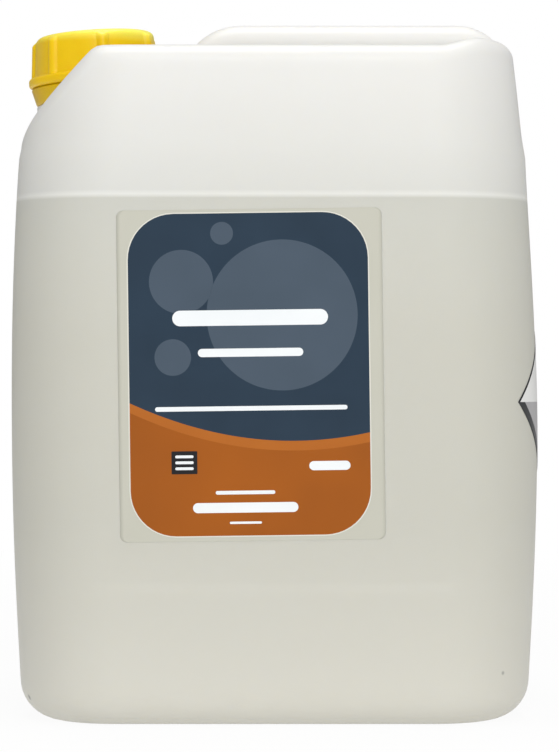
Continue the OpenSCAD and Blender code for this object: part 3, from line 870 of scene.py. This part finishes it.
def sticker_finish():
    """Blank two-tone sticker: pale upper half, grey lower half and a dark border that is wider below."""
    m = Nodes("sticker_film", Roughness=0.35)
    flat = m.parts(m.add("ShaderNodeUVMap", uv_map="flat").outputs["UV"])
    across, along = (m.math("ABSOLUTE", m.math("SUBTRACT", flat[axis], 0.5)) for axis in ("X", "Y"))
    lower = m.math("LESS_THAN", m.math("ADD", flat["X"], flat["Y"]), 1.0)
    start = m.remap(lower, 0.0, 1.0, BORDER_UPPER, BORDER_LOWER)
    border = m.math("GREATER_THAN", m.math("MAXIMUM", across, along), start)
    place = m.place()
    cloud = m.cloud(place, scale=30.0)
    pale = m.blend(cloud, STICKER_PALE, STICKER_PALE_TWO)
    grey = m.blend(cloud, STICKER_GREY, STICKER_GREY_TWO)
    m.feed("Base Color", m.blend(border, m.blend(lower, pale, grey), STICKER_BORDER))
    m.bump(m.noise(place, scale=35.0), distance=0.0002)
    return m.material


def liquid_finish():
    """Pale, slightly cloudy liquid."""
    m = Nodes("liquid", Roughness=0.08, IOR=1.38)
    cloud = m.cloud(m.place(), scale=12.0, detail=3.0)
    m.feed("Base Color", m.blend(cloud, srgb(214, 211, 196), srgb(206, 203, 186)))
    return m.material


def liner_finish():
    """White foamed disc with fine cells."""
    m = Nodes("liner_foam", Roughness=0.7)
    cells = m.add("ShaderNodeTexVoronoi")
    cells.inputs["Scale"].default_value = 1500.0
    m.join(m.place(), cells.inputs["Vector"])
    shade = m.remap(cells.outputs["Distance"], low=0.0, high=0.8)
    m.feed("Base Color", m.blend(shade, srgb(236, 236, 230), srgb(246, 246, 242)))
    m.bump(cells.outputs["Distance"], distance=0.0001)
    return m.material


PLASTIC = can_plastic()
YELLOW = cap_plastic("cap_plastic", srgb(226, 185, 2), srgb(231, 193, 6))
# The ring's yellow is the cap's yellow darkened: painted shade on the ring
RING_PAINTED_SHADE = cap_plastic("ring_plastic_painted_shade", srgb(204, 166, 4), srgb(210, 174, 8))
FILM = film_finish("label_film", srgb(184, 183, 170), srgb(186, 185, 173))
PALE = film_finish("label_pale", srgb(214, 213, 203), srgb(211, 210, 200))
NAVY = film_finish("label_navy", srgb(34, 50, 65), srgb(38, 55, 71))
SLATE = film_finish("label_slate", srgb(66, 79, 92), srgb(70, 83, 97))
ORANGE = film_finish("label_orange", srgb(158, 84, 10), srgb(144, 76, 10), 22.0)
AMBER = film_finish("label_amber", srgb(172, 98, 28), srgb(166, 92, 26))
WHITE = film_finish("label_white", srgb(222, 226, 228), srgb(228, 231, 232))
BLACK = film_finish("label_black", srgb(28, 28, 30), srgb(34, 34, 36))


def bored(skin):
    """Gives the skin its wall thickness, then takes the mouth's bore out of it."""
    wall = skin.modifiers.new("wall", "SOLIDIFY")
    wall.thickness = WALL
    wall.offset = -1
    count = 96
    angle, height = np.meshgrid(np.linspace(0, 2 * np.pi, count + 1)[:-1], [BORE_FOOT, BORE_TOP])
    tube = at_neck(np.full((2, count), MOUTH_R), angle, height)
    around = np.arange(count)[None, :]
    faces = [grid_quads(2, count, wrap_cols=True), around[:, ::-1], around + count]
    cutter = make_piece("mouth_cutter", tube, faces, skin.data.materials[0])
    cut = skin.modifiers.new("mouth", "BOOLEAN")
    cut.operation = "DIFFERENCE"
    cut.solver = "EXACT"
    cut.object = cutter
    shape = bpy.data.meshes.new_from_object(skin.evaluated_get(bpy.context.evaluated_depsgraph_get()))
    skin.modifiers.clear()
    skin.data = shape
    bpy.data.objects.remove(cutter)
    return skin


def ride_can(piece, slot, *nodes):
    """The piece moves with the can and stands for the given nodes; slot is not used."""
    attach(piece, "can")
    if nodes:
        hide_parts(*nodes)


def dress_can():
    """The can, its handle and its neck."""
    skin = bored(can_skin(PLASTIC))
    ride_can(skin, "can_plastic", "jerrycan")
    for piece in (grip_handle(PLASTIC), neck_finish(PLASTIC), neck_thread(PLASTIC)):
        ride_can(piece, "can_plastic")


def dress_closure():
    """The cap, the sealing disc and the ring."""
    cap = screw_cap(YELLOW)
    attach(cap, "cap")
    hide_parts("screw_cap")
    # The ring takes the yellow darkened with painted shade
    ride_can(tamper_ring(RING_PAINTED_SHADE), "cap_plastic", "tamper_band")
    for node, finish in (("cap_liner", liner_finish()), ("detergent", liquid_finish())):
        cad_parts[node].data.materials.clear()
        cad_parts[node].data.materials.append(finish)


def dress_label():
    """Front label: film, pale edge, dark and warm fields, spots and plain bars."""
    ride_can(film_sheet(FILM), "label_film", "front_label")
    centre = (PRINT_S, PRINT_T)
    s, low, high = print_columns()
    line = swoop(s)
    lift = FILM_T + LAYER
    edge_w, edge_h, edge_r = PRINT_W + 2 * PRINT_EDGE, PRINT_H + 2 * PRINT_EDGE, PRINT_R + PRINT_EDGE
    square = (SQUARE_S, SQUARE_T)
    pieces = [
        rounded_field("print_edge", edge_w, edge_h, edge_r, centre, PALE, lift),
        column_field("print_navy", line, high, s, NAVY, lift + LAYER),
        column_field("print_amber", line - AMBER_BAND, line, s, AMBER, lift + LAYER),
        column_field("print_orange", low, line - AMBER_BAND, s, ORANGE, lift + LAYER),
        discs("print_spots", SPOTS, SLATE, lift + 2 * LAYER),
        bars("print_bars", BARS, WHITE, lift + 3 * LAYER),
        rounded_field("print_square", SQUARE_W, SQUARE_H, SQUARE_R, square, BLACK, lift + 2 * LAYER),
        bars("print_square_bars", SQUARE_BARS, WHITE, lift + 3 * LAYER),
    ]
    for piece in pieces:
        ride_can(piece, "label_film")


def dress_sticker():
    """Blank diamond on the right-hand end."""
    ride_can(diamond(sticker_finish()), "sticker_film", "end_sticker")


# Studio

# Share of plain white in the floor: for light, and for the camera near the can
FLOOR_GLOW, FLOOR_WHITE = 0.55, 0.93
# Distances from the middle between which the floor turns plain white for the camera, and half its side
WHITE_FROM, WHITE_AT = 0.3, 1.2
FLOOR_HALF = 6.0
WORLD_GREY, WORLD_WHITE = 0.32, 1.0
CAMERA_AT = (0.0022, -1.3975, 0.154)
FOCAL_PIXELS = 2978
FRAME_TALL = 752


def studio_camera():
    """Camera level with the can's lower half, square to the label."""
    data = bpy.data.cameras.new("camera")
    data.sensor_width = 36
    data.lens = FOCAL_PIXELS * data.sensor_width / FRAME_TALL
    data.clip_start = 0.05
    camera = bpy.data.objects.new("camera", data)
    camera.location = CAMERA_AT
    camera.rotation_euler = (math.pi / 2, 0, 0)
    bpy.context.scene.collection.objects.link(camera)
    bpy.context.scene.camera = camera


def soft_light(name, place, aim, size, power, mirrored=True):
    """Square area lamp at a place, turned to face a point, and seen or not in glossy skins."""
    data = bpy.data.lights.new(name, "AREA")
    data.shape = "SQUARE"
    data.size = size
    data.energy = power
    lamp = bpy.data.objects.new(name, data)
    lamp.location = place
    away = np.array(place) - np.array(aim)
    lamp.rotation_euler = (
        math.atan2(math.hypot(away[0], away[1]), away[2]), 0, math.atan2(away[0], -away[1])
    )
    lamp.visible_glossy = mirrored
    bpy.context.scene.collection.objects.link(lamp)


def studio_world():
    """White world for the camera, a plain grey one for light and reflections."""
    world = bpy.data.worlds.new("studio")
    world.use_nodes = True
    bpy.context.scene.world = world
    tree = world.node_tree
    light, white = tree.nodes["Background"], tree.nodes.new("ShaderNodeBackground")
    for node, strength in ((light, WORLD_GREY), (white, WORLD_WHITE)):
        node.inputs["Color"].default_value = (1, 1, 1, 1)
        node.inputs["Strength"].default_value = strength
    path = tree.nodes.new("ShaderNodeLightPath")
    mixer = tree.nodes.new("ShaderNodeMixShader")
    tree.links.new(path.outputs["Is Camera Ray"], mixer.inputs["Fac"])
    tree.links.new(light.outputs[0], mixer.inputs[1])
    tree.links.new(white.outputs[0], mixer.inputs[2])
    tree.links.new(mixer.outputs[0], tree.nodes["World Output"].inputs["Surface"])


def studio_floor():
    """Flat square floor, pale and matt, with a share of plain white that grows away from the can."""
    m = Nodes("floor_paper", Roughness=0.9, Specular_IOR_Level=0.1)
    place = m.place()
    m.feed("Base Color", m.blend(m.cloud(place, scale=3.0), srgb(240, 240, 239), srgb(243, 243, 242)))
    glow = m.add("ShaderNodeEmission")
    path = m.add("ShaderNodeLightPath")
    mixer = m.add("ShaderNodeMixShader")
    away = m.add("ShaderNodeVectorMath", operation="LENGTH")
    m.join(place, away.inputs[0])
    more = m.remap(
        away.outputs["Value"], WHITE_FROM, WHITE_AT, FLOOR_WHITE - FLOOR_GLOW, 1.0 - FLOOR_GLOW
    )
    share = m.math("MULTIPLY_ADD", path.outputs["Is Camera Ray"], more, FLOOR_GLOW)
    m.join(share, mixer.inputs["Fac"])
    m.join(m.shader.outputs[0], mixer.inputs[1])
    m.join(glow.outputs[0], mixer.inputs[2])
    m.join(mixer.outputs[0], m.tree.nodes["Material Output"].inputs["Surface"])
    corners = FLOOR_HALF * np.array([[-1, -1, 0], [1, -1, 0], [1, 1, 0], [-1, 1, 0]])
    floor = make_piece("studio_floor", corners, [np.array([[0, 1, 2, 3]])], m.material)


dress_can()
dress_closure()
dress_label()
dress_sticker()
studio_camera()
studio_world()
studio_floor()
soft_light("front", (0.35, -2.2, 1.5), (0, 0, 0.15), 1.1, 24)
soft_light("front_left", (-1.6, -1.6, 0.7), (0, 0, 0.12), 1.0, 6, False)
soft_light("front_right", (1.7, -1.6, 0.7), (0, 0, 0.12), 1.0, 7, False)
soft_light("low", (0.0, -1.9, 0.10), (0, 0, 0.0), 1.0, 8, False)
soft_light("over", (0.0, 0.1, 1.7), (0, 0, 0.2), 1.0, 14)
bpy.context.scene.view_settings.view_transform = "Standard"
